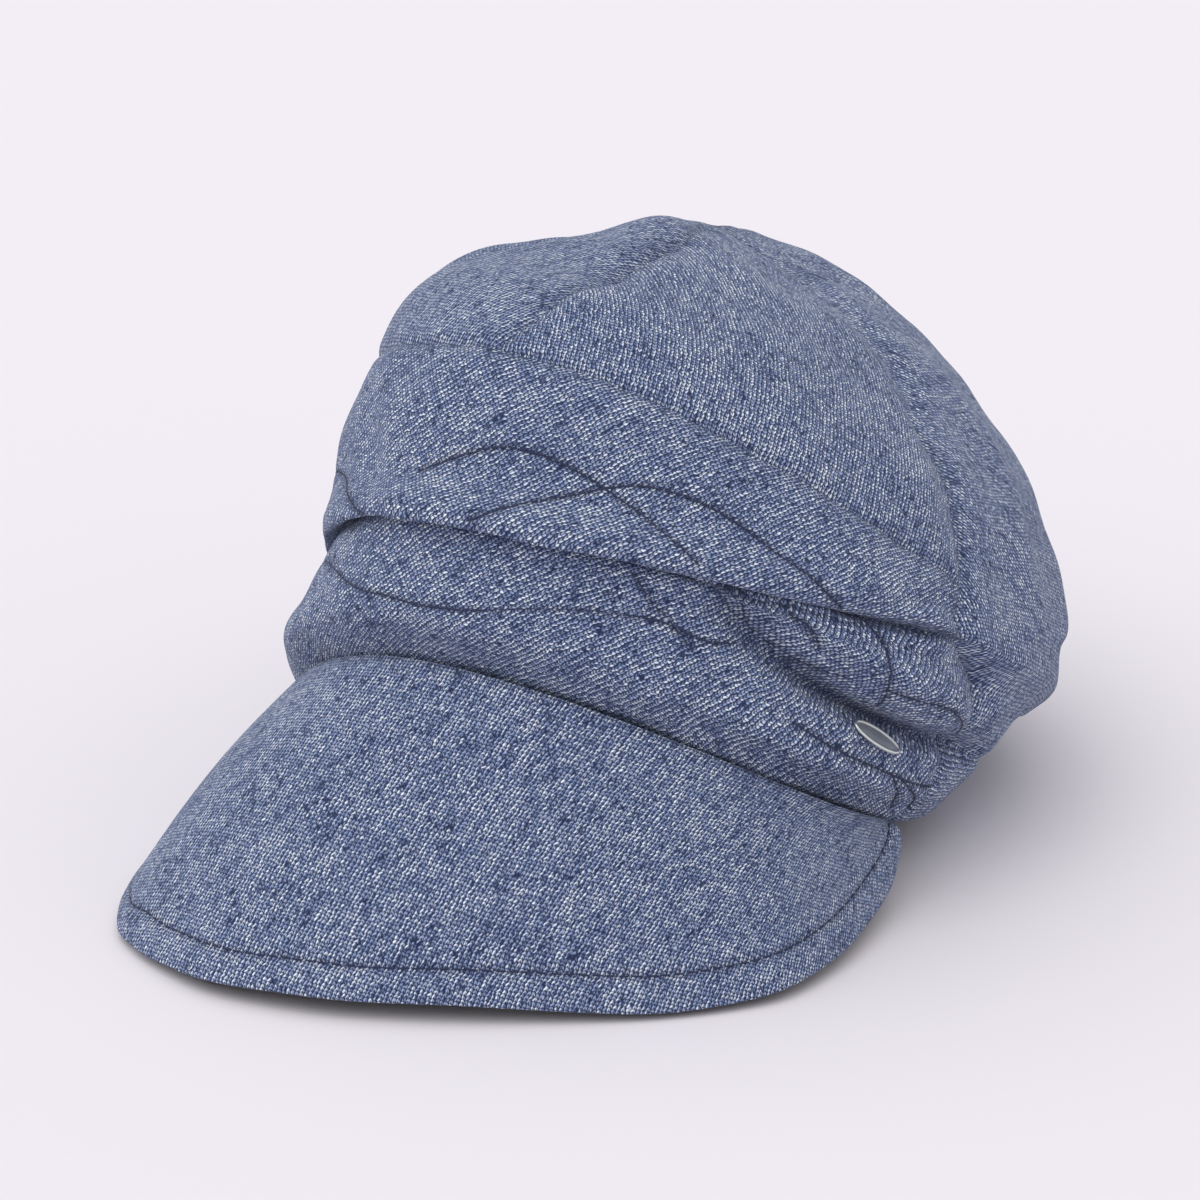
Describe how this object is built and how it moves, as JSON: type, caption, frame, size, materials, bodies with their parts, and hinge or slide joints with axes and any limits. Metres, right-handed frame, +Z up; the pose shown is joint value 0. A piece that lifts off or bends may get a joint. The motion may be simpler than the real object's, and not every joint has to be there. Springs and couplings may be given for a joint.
{
  "type": "peaked cap",
  "caption": "Slouchy knitted peaked cap with a pleated wrap band, a soft panelled crown, a drooping peak and a plain oval badge, standing open side down",
  "frame": {"origin": "On the surface that the cap stands on, under the middle of its overall box", "axes": "+Z up. The peak points along -Y and the crown sags along +Y, which is the longest way. +X is the wearer's left."},
  "size_m": [0.2258, 0.3036, 0.1679],
  "materials": {
    "knit": "heather blue fine jersey knit",
    "under_cloth": "dark navy plain cloth",
    "rim_tape": "dark grey woven tape",
    "badge_metal": "satin silver metal"
  },
  "bodies": {
    "root": {"wrap_band": "knit", "back_band": "knit", "crown_front_left": "knit", "crown_front_right": "knit", "crown_back_left": "knit", "crown_back_right": "knit", "peak_top": "knit", "peak_under": "under_cloth", "rim_tape": "rim_tape", "badge": "badge_metal"}
  },
  "joints": []
}
